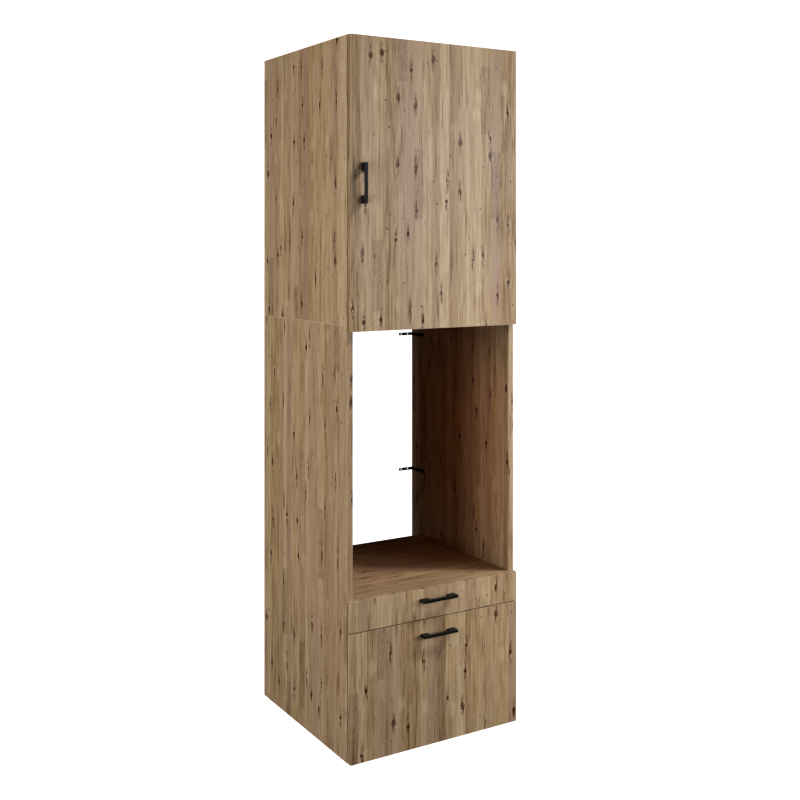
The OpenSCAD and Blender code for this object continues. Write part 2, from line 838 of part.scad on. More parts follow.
module drawer_section() {
  t = runner_t;
  polygon([[-carry_reach, runner_lift - t], [t, runner_lift - t], [t, run_under], [run_reach, run_under],
    [run_reach, run_under + t], [0, run_under + t], [0, runner_lift], [-carry_reach, runner_lift]]);
}

// Shouldered axle with a riveted head, standing on a runner web
module roller_axle(y, z) {
  translate([runner_t - 0.2, y, z]) rotate([0, 90, 0]) {
    cylinder(d = axle_head_d, h = axle_shoulder + 0.2);
    cylinder(d = axle_d, h = axle_l);
    translate([0, 0, axle_l - axle_head_h]) cylinder(d = axle_head_d, h = axle_head_h);
  }
}

module roller(y, z) {
  r = roller_d / 2;
  bore = axle_d / 2 + axle_clear;
  hub = axle_head_d / 2 + 1;
  rim = r - 2.5;
  dish = 0.8;
  edge = 0.5;
  color("WhiteSmoke")
  translate([runner_t + axle_shoulder + roller_side_gap, y, z]) rotate([0, 90, 0]) rotate_extrude()
    polygon([[bore, 0], [hub, 0], [hub + 0.5, dish], [rim - 0.5, dish], [rim, 0], [r - edge, 0], [r, edge],
      [r, roller_w - edge], [r - edge, roller_w], [rim, roller_w], [rim - 0.5, roller_w - dish],
      [hub + 0.5, roller_w - dish], [hub, roller_w], [bore, roller_w]]);
}

module cabinet_runners(box_z) {
  color("White")
  for (s = SIDES) on_runner(s, box_z) difference() {
    union() {
      along_y(runner_l) cabinet_section();
      roller_axle(roller_edge, front_roller_z);
      translate([runner_t, stop_y, runner_t - 0.2]) cube([track_reach - runner_t, stop_l, stop_h + 0.2]);
    }
    for (y = runner_screw_ys) translate([-1, y, runner_screw_z]) rotate([0, 90, 0])
      cylinder(d = runner_screw_d + bore_clear, h = runner_t + 2);
  }
}

module drawer_runners(box_z) {
  color("White")
  for (s = SIDES) {
    difference() {
      on_drawer_runner(s, box_z) along_y(runner_l) drawer_section();
      carry_screw_places(s, box_z) translate([0, 0, -1])
        cylinder(d = carry_screw_d + bore_clear, h = runner_t + 2);
    }
    on_drawer_runner(s, box_z) roller_axle(runner_l - roller_edge, rear_roller_z);
  }
}

module front_roller(s, box_z) {
  on_runner(s, box_z) roller(roller_edge, front_roller_z);
}

module rear_roller(s, box_z) {
  on_drawer_runner(s, box_z) roller(runner_l - roller_edge, rear_roller_z);
}

module runner_screws() {
  color("Silver")
  for (s = SIDES, z = [shallow_box_z, deep_box_z], y = runner_screw_ys)
    on_runner(s, z) translate([runner_t, y, runner_screw_z]) rotate([0, 90, 0])
      screw(runner_screw_head_d, runner_screw_head_h, runner_screw_d, runner_t + runner_screw_l - 1);
}

// Cup hinges. Plan positions are measured from the outer front corner of the right side:
// -X runs into the cabinet and +Y runs back from the front edge of the carcass.
module on_hinges() {
  for (z = hinge_zs) translate([cabinet_w / 2, carcass_y, z]) children();
}

module pin_at(p, z0, z1, d) {
  translate([p[0], p[1], z0]) cylinder(d = d, h = z1 - z0);
}

module slab(z0, z1) {
  translate([0, 0, z0]) linear_extrude(height = z1 - z0) children();
}

// Straight bar between two points, moved sideways and as wide as given
module bar_between(p, q, w, shift = 0) {
  translate(p) rotate(atan2(q[1] - p[1], q[0] - p[0]))
    translate([0, shift - w / 2]) square([norm(q - p), w]);
}

module at_cup_screws(y) {
  for (s = SIDES) translate([cup_x - cup_screw_offset, y, s * cup_screw_pitch / 2]) children();
}

module cup_flange_outline() {
  circle(r = cup_d / 2 + flange_rim);
  translate([-cup_screw_offset, 0]) {
    for (s = SIDES) translate([0, s * cup_screw_pitch / 2]) circle(r = flange_ear);
    translate([-flange_ear, -cup_screw_pitch / 2]) square([2 * flange_ear, cup_screw_pitch]);
  }
}

// Two ears between the links hold the inner pin, so that the outer links can pass it
module cup_ear_outline() {
  foot = [cup_outer_pin[0], -front_gap - cup_depth + cup_clear + cup_wall / 2];
  for (p = [cup_outer_pin, cup_inner_pin]) translate(p) circle(d = ear_w);
  bar_between(cup_outer_pin, cup_inner_pin, ear_w);
  bar_between(foot, cup_outer_pin, ear_w);
}

// Cup whose rim is lowered where the arm enters it
module hinge_cup() {
  bowl_r = cup_d / 2 - cup_clear;
  difference() {
    translate([cup_x, -front_gap, 0]) rotate([90, 0, 0]) {
      translate([0, 0, -flange_t]) linear_extrude(height = flange_t) cup_flange_outline();
      cylinder(r = bowl_r, h = cup_depth - cup_clear);
    }
    translate([cup_x, -front_gap + flange_t + 1, 0]) rotate([90, 0, 0])
      cylinder(r = bowl_r - cup_wall, h = flange_t + 1 + cup_depth - cup_clear - cup_wall);
    translate([cup_x - cup_d, -front_gap - gate_drop, -arm_gate / 2])
      cube([cup_d, gate_drop + flange_t + 1, arm_gate]);
    at_cup_screws(-front_gap + flange_t + 1)
      rotate([90, 0, 0]) cylinder(d = cup_screw_d + 2 * bore_clear, h = flange_t + 2);
  }
  for (s = SIDES) mirror([0, 0, s > 0 ? 0 : 1]) {
    pin_at(cup_outer_pin, ear_z, bowl_r - 5, hinge_pin_d);
    slab(ear_z, ear_z + ear_t) cup_ear_outline();
  }
  pin_at(cup_inner_pin, -ear_z - 0.1, ear_z + 0.1, hinge_pin_d);
}

module hinge_cups() {
  color("Silver") on_hinges() hinge_cup();
}

module hinge_cup_screws() {
  color("Gainsboro")
  on_hinges() at_cup_screws(-front_gap + flange_t) rotate([-90, 0, 0])
    screw(cup_screw_head_d, cup_screw_head_h, cup_screw_d, flange_t + cup_screw_l);
}

// Two cheeks on a sleeve that turns on the arm; each cheek is bowed clear of the rim of the open cup
module hinge_outer_links() {
  bore = hinge_pin_d + 2 * pin_clear;
  z0 = outer_link_z;
  color("Gray")
  on_hinges() difference() {
    union() {
      for (s = SIDES) mirror([0, 0, s > 0 ? 0 : 1]) slab(z0, z0 + cheek_t) {
        translate(arm_outer_pin) circle(d = link_eye);
        translate(cup_outer_pin) circle(d = link_eye);
        bar_between(arm_outer_pin, cup_outer_pin, outer_bar_w, -outer_bow);
      }
      pin_at(arm_outer_pin, -z0 - 0.1, z0 + 0.1, link_eye);
    }
    for (p = [arm_outer_pin, cup_outer_pin]) pin_at(p, -cup_d, cup_d, bore);
  }
}

// Flat inner link: a round eye on the arm and a long eye for the open pivot in the cup
module hinge_inner_links() {
  bore = hinge_pin_d + 2 * pin_clear;
  slot_w = bore + slot_side;
  a = atan2(cup_inner_pin[1] - arm_inner_pin[1], cup_inner_pin[0] - arm_inner_pin[0]);
  color("DarkGray")
  on_hinges() slab(-inner_link_h / 2, inner_link_h / 2) difference() {
    union() {
      translate(arm_inner_pin) circle(d = link_eye);
      bar_between(arm_inner_pin, cup_inner_pin, inner_bar_w, slot_side / 2);
      slot_outline(a, slot_w + 2 * slot_wall);
    }
    translate(arm_inner_pin) circle(d = bore);
    slot_outline(a, slot_w);
  }
}

module slot_outline(a, w) {
  translate(cup_inner_pin) rotate(a) translate([0, slot_side / 2]) {
    translate([-slot_in, 0]) circle(d = w);
    translate([slot_out, 0]) circle(d = w);
    translate([-slot_in, -w / 2]) square([slot_in + slot_out, w]);
  }
}

module arm_cheek_outline() {
  nose = arm_eye / 2;
  for (p = [arm_outer_pin, arm_inner_pin]) translate(p) circle(r = nose);
  bar_between(arm_outer_pin, arm_inner_pin, arm_bar_w, -arm_bar_shift);
  polygon([
    [-panel_t - arm_foot, arm_y1], [-panel_t - arm_rise, arm_y1], [-panel_t - arm_rise, arm_y0],
    [arm_inner_pin[0] - nose, arm_inner_pin[1] + 2 * nose], [arm_inner_pin[0] - nose, arm_inner_pin[1]],
    [arm_inner_pin[0] + nose, arm_inner_pin[1]], [-panel_t - arm_foot, arm_y0]
  ]);
}

module arm_web_outline() {
  nose = arm_eye / 2;
  polygon([
    [-panel_t - arm_rise, arm_y1], [-panel_t - arm_rise, arm_y0],
    [arm_inner_pin[0] - nose, arm_inner_pin[1] + 2 * nose],
    [arm_inner_pin[0] - nose + cheek_t, arm_inner_pin[1] + 2 * nose],
    [-panel_t - arm_rise + cheek_t, arm_y0], [-panel_t - arm_rise + cheek_t, arm_y1]
  ]);
}

module hinge_arms() {
  z0 = arm_cheek_z;
  color("Silver")
  on_hinges() {
    difference() {
      union() {
        for (s = SIDES) mirror([0, 0, s > 0 ? 0 : 1]) slab(z0, z0 + arm_cheek_t) arm_cheek_outline();
        slab(-z0 - 0.1, z0 + 0.1) arm_web_outline();
      }
      translate([-panel_t - arm_rise - 1, plate_setback + arm_screw_back, 0]) rotate([0, 90, 0])
        cylinder(d = arm_screw_d + 2 * bore_clear, h = cheek_t + 2);
    }
    for (p = [arm_outer_pin, arm_inner_pin]) pin_at(p, -z0 - arm_cheek_t, z0 + arm_cheek_t, hinge_pin_d);
  }
}

// Screw axes of the mounting plate, at a height above the side panel
module at_plate_screws(h) {
  for (s = SIDES)
    translate([-panel_t - h, plate_setback, s * plate_screw_pitch / 2]) rotate([0, 90, 0]) children();
}

module hinge_plates() {
  ridge = arm_rise - cheek_t;
  color("LightGray")
  on_hinges() difference() {
    union() {
      translate([-panel_t, plate_setback, 0]) rotate([0, -90, 0]) linear_extrude(height = plate_t) {
        for (s = SIDES) translate([s * plate_screw_pitch / 2, 0]) circle(d = plate_wing);
        translate([-plate_screw_pitch / 2, -plate_wing / 2]) square([plate_screw_pitch, plate_wing]);
        translate([-plate_ridge_w / 2, -plate_ridge_l / 2]) square([plate_ridge_w, plate_ridge_l]);
      }
      translate([-panel_t - ridge, plate_setback - plate_ridge_l / 2 + 2, -plate_ridge_w / 2])
        cube([ridge - 1, plate_ridge_l - 4, plate_ridge_w]);
    }
    at_plate_screws(plate_t + 1) cylinder(d = plate_screw_d + bore_clear, h = plate_t + 2);
    translate([-panel_t - ridge - 1, plate_setback + arm_screw_back, 0]) rotate([0, 90, 0])
      cylinder(d = arm_screw_d + bore_clear, h = ridge);
  }
}

module hinge_plate_screws() {
  color("Gainsboro")
  on_hinges() {
    at_plate_screws(plate_t) mirror([0, 0, 1])
      screw(plate_screw_head_d, plate_screw_head_h, plate_screw_d, plate_t + plate_screw_l - 0.5);
    translate([-panel_t - arm_rise, plate_setback + arm_screw_back, 0]) rotate([0, -90, 0])
      screw(arm_screw_head_d, arm_screw_head_h, arm_screw_d, arm_rise - 3);
  }
}

// Door
module on_door_handle() {
  on_front(-front_w / 2 + door_handle_inset, door_z + door_h / 2, true) children();
}

module door_panel() {
  color("BurlyWood")
  difference() {
    front_board(door_z, door_h);
    on_door_handle() handle_bores();
    on_hinges() {
      translate([cup_x, -front_gap + 1, 0]) rotate([90, 0, 0]) cylinder(d = cup_d, h = cup_depth + 1);
      at_cup_screws(-front_gap + 1)
        rotate([90, 0, 0]) cylinder(d = cup_screw_d + bore_clear, h = cup_screw_l + 1.5);
    }
  }
}

module door_handle() {
  on_door_handle() handle();
}

module door_handle_screws() {
  on_door_handle() handle_screws();
}

// Domed pads, each the cap of a sphere
module door_bumpers() {
  h = front_gap - seat_gap;
  r = (pow(bumper_d / 2, 2) + h * h) / (2 * h);
  color("Gainsboro")
  for (z = [door_z + bumper_inset, door_z + door_h - bumper_inset])
    translate([-(cabinet_w - panel_t) / 2, front_back_y, z]) rotate([-90, 0, 0]) intersection() {
      translate([0, 0, h - r]) sphere(r = r);
      translate([-bumper_d, -bumper_d, 0]) cube([2 * bumper_d, 2 * bumper_d, h + 1]);
    }
}

lower_side(-1);  // lower_left_side
lower_side(1);  // lower_right_side
bottom_panel();
niche_floor();
lower_top_panel();
drawer_back_panel();
upper_side(-1);  // upper_left_side
upper_side(1);  // upper_right_side
upper_bottom_panel();
upper_top_panel();
upper_back_panel();
shelf();
shelf_pins();
glides();
cam_locks();
cam_bolts();
dowels();
joining_screws();
wall_brackets();
bracket_screws();
door_panel();
door_handle();
door_handle_screws();
door_bumpers();
hinge_cups();
hinge_cup_screws();
hinge_outer_links();
hinge_inner_links();
hinge_arms();
hinge_plates();
hinge_plate_screws();
drawer_front(shallow_front_z, shallow_front_h, shallow_box_z, shallow_side_h, shallow_handle_z);  // shallow_front
drawer_side(-1, shallow_box_z, shallow_side_h);  // shallow_left_side
drawer_side(1, shallow_box_z, shallow_side_h);  // shallow_right_side
drawer_back(shallow_box_z, shallow_side_h);  // shallow_back
drawer_bottom(shallow_box_z);  // shallow_bottom
drawer_handle(shallow_handle_z);  // shallow_handle
drawer_handle_screws(shallow_handle_z);  // shallow_handle_screws
drawer_fittings(shallow_box_z, shallow_side_h);  // shallow_fittings
cabinet_runners(shallow_box_z);  // shallow_cabinet_runners
drawer_runners(shallow_box_z);  // shallow_drawer_runners
front_roller(-1, shallow_box_z);  // shallow_front_roller_left
front_roller(1, shallow_box_z);  // shallow_front_roller_right
rear_roller(-1, shallow_box_z);  // shallow_rear_roller_left
rear_roller(1, shallow_box_z);  // shallow_rear_roller_right
drawer_front(deep_front_z, deep_front_h, deep_box_z, deep_side_h, deep_handle_z);  // deep_front
drawer_side(-1, deep_box_z, deep_side_h);  // deep_left_side
drawer_side(1, deep_box_z, deep_side_h);  // deep_right_side
drawer_back(deep_box_z, deep_side_h);  // deep_back
drawer_bottom(deep_box_z);  // deep_bottom
drawer_handle(deep_handle_z);  // deep_handle
drawer_handle_screws(deep_handle_z);  // deep_handle_screws
drawer_fittings(deep_box_z, deep_side_h);  // deep_fittings
cabinet_runners(deep_box_z);  // deep_cabinet_runners
drawer_runners(deep_box_z);  // deep_drawer_runners
front_roller(-1, deep_box_z);  // deep_front_roller_left
front_roller(1, deep_box_z);  // deep_front_roller_right
rear_roller(-1, deep_box_z);  // deep_rear_roller_left
rear_roller(1, deep_box_z);  // deep_rear_roller_right
runner_screws();
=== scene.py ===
"""Looks of a tall housing cabinet with a door, an open niche and two drawers.

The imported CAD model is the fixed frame: every visible piece is a CAD node with a real finish.
"""
import logging
import math
from dataclasses import dataclass, field
from enum import Enum

import bpy
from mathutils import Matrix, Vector


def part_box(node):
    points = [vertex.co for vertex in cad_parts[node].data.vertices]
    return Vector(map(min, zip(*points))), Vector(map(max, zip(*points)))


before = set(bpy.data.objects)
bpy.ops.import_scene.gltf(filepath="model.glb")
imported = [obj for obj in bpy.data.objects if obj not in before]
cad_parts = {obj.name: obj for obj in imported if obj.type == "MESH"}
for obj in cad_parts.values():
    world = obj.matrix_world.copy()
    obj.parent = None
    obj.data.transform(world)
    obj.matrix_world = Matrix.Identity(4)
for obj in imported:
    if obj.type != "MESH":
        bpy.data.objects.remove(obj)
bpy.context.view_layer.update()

LOG = logging.getLogger("cabinet")
MM = 0.001
WHITE = "#ffffff"
# Part of a normal along an axis from which on a face counts as facing that axis
FACING = 0.75

Socket = bpy.types.NodeSocket
Tree = bpy.types.NodeTree
Pair = tuple[float, float]
Triple = tuple[float, float, float]
Colour = tuple[float, float, float, float]


class Grain(Enum):
    """Direction in which the printed grain runs on a board."""

    UPRIGHT = "upright"
    ACROSS = "across"


def linear(hex_colour: str) -> Colour:
    """Turns an sRGB hex colour into the linear values that shaders take.

    Args:
        hex_colour: Colour as #rrggbb.

    Returns:
        Linear red, green and blue, and an alpha of 1.
    """
    parts = [int(hex_colour[i:i + 2], 16) / 255 for i in (1, 3, 5)]
    r, g, b = [p / 12.92 if p <= 0.04045 else ((p + 0.055) / 1.055) ** 2.4 for p in parts]
    return r, g, b, 1.0


def add_node(tree: Tree, kind: str, inputs: dict | None = None, **settings) -> bpy.types.Node:
    """Adds one node with its settings, values and links.

    Args:
        tree: Node tree that gets the node.
        kind: Blender's name of the node type.
        inputs: Socket name or index, with a value or with the output socket to link.
        **settings: Attributes of the node.

    Returns:
        The new node.
    """
    made = tree.nodes.new(kind)
    for name, value in settings.items():
        setattr(made, name, value)
    for key, value in (inputs or {}).items():
        if isinstance(value, Socket):
            tree.links.new(value, made.inputs[key])
        else:
            made.inputs[key].default_value = value
    return made


def calc(tree: Tree, operation: str, *values: Socket | float) -> Socket:
    """Adds one step of arithmetic on numbers and returns its result."""
    return add_node(tree, "ShaderNodeMath", dict(enumerate(values)), operation=operation).outputs[0]


def calc_vector(tree: Tree, operation: str, *values: Socket | Vector | Triple) -> Socket:
    """Adds one step of arithmetic on vectors and returns its result."""
    return add_node(tree, "ShaderNodeVectorMath", dict(enumerate(values)), operation=operation).outputs[0]


def scale_vector(tree: Tree, vector: Socket, factor: Socket | float) -> Socket:
    """Adds a node that lengthens a vector by a factor and returns its result."""
    return add_node(tree, "ShaderNodeVectorMath", {0: vector, "Scale": factor}, operation="SCALE").outputs[0]


def remap(tree: Tree, value: Socket, source: Pair, result: Pair = (0.0, 1.0),
          curve: str = "LINEAR") -> Socket:
    """Maps one range of a number onto another, and holds it at both ends.

    Args:
        tree: Node tree that gets the node.
        value: Number to map.
        source: Where the range starts and ends before.
        result: Where it starts and ends after.
        curve: Blender's name of the way between the ends.

    Returns:
        Socket with the mapped number.
    """
    ends = {0: value, 1: source[0], 2: source[1], 3: result[0], 4: result[1]}
    return add_node(tree, "ShaderNodeMapRange", ends, interpolation_type=curve).outputs[0]


def blend(tree: Tree, share: Socket, below: Socket | Colour, above: Socket | Colour) -> Socket:
    """Adds a mix of two colours and returns its result."""
    return add_node(tree, "ShaderNodeMix", {0: share, 6: below, 7: above}, data_type="RGBA").outputs[2]


def blend_value(tree: Tree, share: Socket, below: Socket | float, above: Socket | float) -> Socket:
    """Adds a mix of two numbers and returns its result."""
    return add_node(tree, "ShaderNodeMix", {0: share, 2: below, 3: above}, data_type="FLOAT").outputs[0]


def ramp(tree: Tree, value: Socket, stops: tuple[tuple[float, Colour], ...]) -> Socket:
    """Adds a colour ramp.

    Args:
        tree: Node tree that gets the node.
        value: Place on the ramp from 0 to 1.
        stops: Position and linear colour of each stop, from low to high.

    Returns:
        Socket with the colour.
    """
    made = add_node(tree, "ShaderNodeValToRGB", {0: value})
    for _ in stops[2:]:
        made.color_ramp.elements.new(0.5)
    for element, (position, colour) in zip(made.color_ramp.elements, stops):
        element.position = position
        element.color = colour
    return made.outputs[0]


def leaned(tree: Tree, place: Socket, angle_deg: float) -> Socket:
    """Turns a place about the print's origin, and returns the turned place."""
    turn = (0, 0, math.radians(angle_deg))
    return add_node(tree, "ShaderNodeMapping", {"Vector": place, "Rotation": turn}).outputs[0]


def new_material(name: str) -> tuple[bpy.types.Material, Tree]:
    """Makes a material without nodes.

    Args:
        name: Name of the material.

    Returns:
        The material and its empty node tree.
    """
    material = bpy.data.materials.new(name)
    material.use_nodes = True
    material.node_tree.nodes.clear()
    return material, material.node_tree


def finish_shader(tree: Tree, inputs: dict) -> None:
    """Adds the surface shader and the material output.

    Args:
        tree: Node tree of the material.
        inputs: Values and links of the shader's sockets.
    """
    shader = add_node(tree, "ShaderNodeBsdfPrincipled", inputs)
    add_node(tree, "ShaderNodeOutputMaterial", {"Surface": shader.outputs[0]})


@dataclass(frozen=True)
class KnottyPineDecor:
    """Melamine-faced particleboard with a printed decor of knotty pine, pressed satin.

    The print shows straight upright lamellas in tan and rose, a few scratched taupe staves with
    butt ends, brown feathery streaks, small ringed knots with a flame along the grain, dark specks
    and short dashes. The paper under melamine gives a dull sheen.

    Sizes in millimetres are given across and along the grain. A band holds the two values of a
    noise or a distance between which a mark fades in. A chance is the share of the cells that
    hold a mark.
    """

    name: str = "melamine_knotty_pine"
    deep: str = "#604321"
    brown: str = "#886f51"
    tan: str = "#a48f71"
    pale: str = "#b19c81"
    light: str = "#c1ae94"
    taupe: str = "#74614f"
    rosy: str = "#9e8775"
    russet: str = "#5a3613"
    knot: str = "#3e1f05"
    chip: str = "#b08f63"
    bark: str = "#6f5132"
    # Tone of the wood: a base, and how much each part adds to it
    base_tone: float = 0.12
    lamella_mm: Pair = (31.0, 210.0)
    lamella_share: float = 0.26
    stave_mm: Pair = (15.0, 900.0)
    stave_share: float = 0.14
    patch_mm: Pair = (10.0, 130.0)
    patch_share: float = 0.46
    streak_mm: Pair = (3.7, 230.0)
    streak_share: float = 0.68
    fibre_mm: Pair = (1.6, 46.0)
    fibre_share: float = 0.26
    glow_mm: Pair = (17.0, 34.0)
    glow_share: float = 0.3
    glow_band: Pair = (1.0, 0.4)
    glow_light: Pair = (0.5, 1.0)
    # Lamellas: how uneven their widths are, how far their joints are staggered, how they sway
    strip_jitter: float = 0.8
    stagger: float = 83.0
    sway_mm: Pair = (90.0, 420.0)
    sway_reach_mm: float = 5.0
    rose_band: Pair = (0.4, 0.95)
    rose_share: float = 0.6
    worn_from: float = 0.95
    taupe_share: float = 0.2
    # Scratches and feathers
    scratch_mm: Pair = (1.8, 30.0)
    scratch_lean_deg: float = 24.0
    scratch_band: Pair = (0.52, 0.64)
    scratch_depth: float = 0.5
    feather_mm: Pair = (3.4, 120.0)
    feather_band: Pair = (0.5, 0.62)
    feather_depth: float = 0.6
    bunch_mm: Pair = (17.0, 260.0)
    bunch_band: Pair = (0.48, 0.64)
    # Knots: their cells, shape, ragged rim, and rings as shares of the radius with a darkness each
    cell_jitter: float = 0.95
    knot_cell_mm: Pair = (92.0, 132.0)
    knot_chance: float = 0.75
    knot_radius_mm: Pair = (3.6, 9.0)
    knot_oval: Pair = (1.0, 1.3)
    rag_mm: Pair = (3.0, 5.0)
    rag_reach_mm: float = 3.0
    knot_rings: tuple[Pair, ...] = (
        (0.0, 1.0), (0.26, 0.95), (0.36, 0.3), (0.66, 0.35), (0.78, 0.9), (0.9, 0.8), (1.0, 0.0),
    )
    solid_from: float = 0.55
    solid_band: Pair = (0.7, 0.5)
    knot_sink: float = -0.8
    # Flames along the grain, and how far a knot pushes the grain aside
    flame_mm: Pair = (9.0, 48.0)
    flame_band: Pair = (1.0, 0.3)
    flame_patch_mm: Pair = (2.6, 26.0)
    flame_patch_band: Pair = (0.44, 0.54)
    grain_push: float = -0.35
    # Specks and dashes, with radii as shares of their cells
    speck_cell_mm: Pair = (56.0, 76.0)
    speck_chance: float = 0.4
    speck_radius: Pair = (0.024, 0.052)
    speck_band: Pair = (1.1, 0.6)
    speck_depth: float = 0.9
    dash_cell_mm: Pair = (14.0, 90.0)
    dash_chance: Pair = (0.02, 0.16)
    dash_cluster_mm: Pair = (38.0, 70.0)
    dash_cluster_band: Pair = (0.46, 0.68)
    dash_by_flame: float = 0.3
    dash_leans_deg: Pair = (4.0, -9.0)
    dash_radius: Pair = (0.07, 0.19)
    dash_band: Pair = (1.0, 0.3)
    dash_depth: Pair = (0.2, 0.7)
    # Painted highlight: a pale rim along the edges of the large faces; then sawn core and sheen
    highlight_rim_mm: float = 1.2
    highlight_rim_share: float = 0.4
    # Chips of the core: drawn coarser than they are, so that they show
    chip_mm: Triple = (2.6, 0.9, 2.6)
    sawn_roughness: float = 0.85
    roughness: float = 0.38
    sheen_band: Pair = (0.25, 0.75)
    sheen_swing: Pair = (0.07, -0.05)
    emboss_strength: float = 0.16
    emboss_mm: float = 0.25
    ior: float = 1.5

    def print_group(self) -> Tree:
        """Builds the printed pattern once, as a group fed with a place in millimetres.

        Returns:
            Group with the input Place and the outputs Colour, Height and Roughness.
        """
        found = bpy.data.node_groups.get(self.name + "_print")
        if found:
            return found
        tree = bpy.data.node_groups.new(self.name + "_print", "ShaderNodeTree")
        tree.interface.new_socket("Place", in_out="INPUT", socket_type="NodeSocketVector")
        tree.interface.new_socket("Colour", in_out="OUTPUT", socket_type="NodeSocketColor")
        tree.interface.new_socket("Height", in_out="OUTPUT", socket_type="NodeSocketFloat")
        tree.interface.new_socket("Roughness", in_out="OUTPUT", socket_type="NodeSocketFloat")
        place = add_node(tree, "NodeGroupInput").outputs["Place"]
        knots, flame, glow, push = self.knots(tree, place)
        specks = self.specks(tree, place)
        bent = calc_vector(tree, "ADD", place, push)
        tone, tint, worn = self.lamellas(tree, bent)
        streaks = self.noise(tree, bent, self.streak_mm, detail=3.0)
        fibres = self.noise(tree, bent, self.fibre_mm)
        shares = ((streaks, self.streak_share), (fibres, self.fibre_share), (glow, self.glow_share))
        for part, share in shares:
            tone = calc(tree, "ADD", tone, calc(tree, "MULTIPLY_ADD", part, share, -share / 2))
        hues = ((0.0, self.deep), (0.28, self.brown), (0.5, self.tan), (0.7, self.pale), (1.0, self.light))
        colour = ramp(tree, tone, tuple((position, linear(hue)) for position, hue in hues))
        rose = remap(tree, tint.outputs[2], self.rose_band, (0.0, self.rose_share))
        dark = calc(tree, "MAXIMUM", knots, specks)
        layers = (
            (rose, self.rosy),
            (calc(tree, "MULTIPLY", worn, self.taupe_share), self.taupe),
            (self.scratches(tree, bent, worn), self.deep),
            (self.feathers(tree, bent), self.deep),
            (flame, self.russet),
            (self.dashes(tree, bent, flame), self.russet),
            (dark, self.knot),
        )
        for share, hue in layers:
            colour = blend(tree, share, colour, linear(hue))
        height = calc(tree, "MULTIPLY_ADD", dark, self.knot_sink, fibres)
        sheen = tuple(self.roughness + swing for swing in self.sheen_swing)
        rough = remap(tree, streaks, self.sheen_band, sheen)
        add_node(tree, "NodeGroupOutput", {"Colour": colour, "Height": height, "Roughness": rough})
        return tree

    def scaled(self, tree: Tree, place: Socket, size_mm: Pair) -> Socket:
        """Counts a place in cells of a size across and along the grain."""
        return calc_vector(tree, "MULTIPLY", place, (1 / size_mm[0], 1 / size_mm[1], 0))

    def noise(self, tree: Tree, place: Socket, size_mm: Pair, detail: float = 2.0,
              coarse: float = 0.6) -> Socket:
        """Adds noise that is short across the grain and long along it.

        Args:
            tree: Node tree that gets the nodes.
            place: Place in millimetres.
            size_mm: Size of a feature across and along the grain.
            detail: Octaves of finer noise.
            coarse: Share that each finer octave keeps.

        Returns:
            Socket with values from 0 to 1.
        """
        inputs = {"Vector": self.scaled(tree, place, size_mm), "Scale": 1.0, "Detail": detail, "Roughness": coarse}
        return add_node(tree, "ShaderNodeTexNoise", inputs, noise_dimensions="2D").outputs[0]

    def blocks(self, tree: Tree, across: Socket, along: Socket,
               size_mm: Pair) -> tuple[bpy.types.Node, bpy.types.Node]:
        """Lays straight strips side by side, each cut into blocks with butt ends.

        Args:
            tree: Node tree that gets the nodes.
            across: Place across the grain in millimetres.
            along: Place along the grain in millimetres.
            size_mm: Average width of a strip and length of a block.

        Returns:
            Two nodes, each with three random numbers: of the strip, and of the block.
        """
        cell = calc(tree, "MULTIPLY", across, 1 / size_mm[0])
        inputs = {"W": cell, "Scale": 1.0, "Randomness": self.strip_jitter}
        strip = add_node(tree, "ShaderNodeTexVoronoi", inputs, voronoi_dimensions="1D")
        chances = add_node(tree, "ShaderNodeSeparateColor", {0: strip.outputs["Color"]})
        start = calc(tree, "MULTIPLY", chances.outputs[0], self.stagger)
        block = calc(tree, "FLOOR", calc(tree, "MULTIPLY_ADD", along, 1 / size_mm[1], start))
        key = add_node(tree, "ShaderNodeCombineXYZ", {0: start, 1: block}).outputs[0]
        chance = add_node(tree, "ShaderNodeTexWhiteNoise", {"Vector": key}, noise_dimensions="2D")
        return chances, add_node(tree, "ShaderNodeSeparateColor", {0: chance.outputs["Color"]})

    def lamellas(self, tree: Tree, place: Socket) -> tuple[Socket, bpy.types.Node, Socket]:
        """Adds the upright lamellas, the staves in them and the soft patches of the wood.

        Args:
            tree: Node tree that gets the nodes.
            place: Place in millimetres.

        Returns:
            Socket with the tone from 0 to 1, node with random numbers of the lamella, and socket
            that is 1 on the few worn staves.
        """
        sway = self.noise(tree, place, self.sway_mm, detail=1.0, coarse=0.5)
        split = add_node(tree, "ShaderNodeSeparateXYZ", {0: place})
        along = split.outputs[1]
        across = calc(tree, "MULTIPLY_ADD", sway, self.sway_reach_mm, split.outputs[0])
        wide, block = self.blocks(tree, across, along, self.lamella_mm)
        narrow, _ = self.blocks(tree, across, along, self.stave_mm)
        patch = self.noise(tree, place, self.patch_mm, coarse=0.55)
        tone = self.base_tone
        parts = (
            (wide.outputs[1], self.lamella_share),
            (narrow.outputs[1], self.stave_share),
            (patch, self.patch_share),
        )
        for part, share in parts:
            tone = calc(tree, "MULTIPLY_ADD", part, share, tone)
        return tone, wide, calc(tree, "GREATER_THAN", block.outputs[1], self.worn_from)

    def scratches(self, tree: Tree, place: Socket, worn: Socket) -> Socket:
        """Adds fine slanting scratches on the worn staves.

        Args:
            tree: Node tree that gets the nodes.
            place: Place in millimetres.
            worn: 1 on the worn staves.

        Returns:
            Socket with the darkness of the scratches.
        """
        lines = self.noise(tree, leaned(tree, place, self.scratch_lean_deg), self.scratch_mm)
        return calc(tree, "MULTIPLY", remap(tree, lines, self.scratch_band, (0.0, self.scratch_depth)), worn)

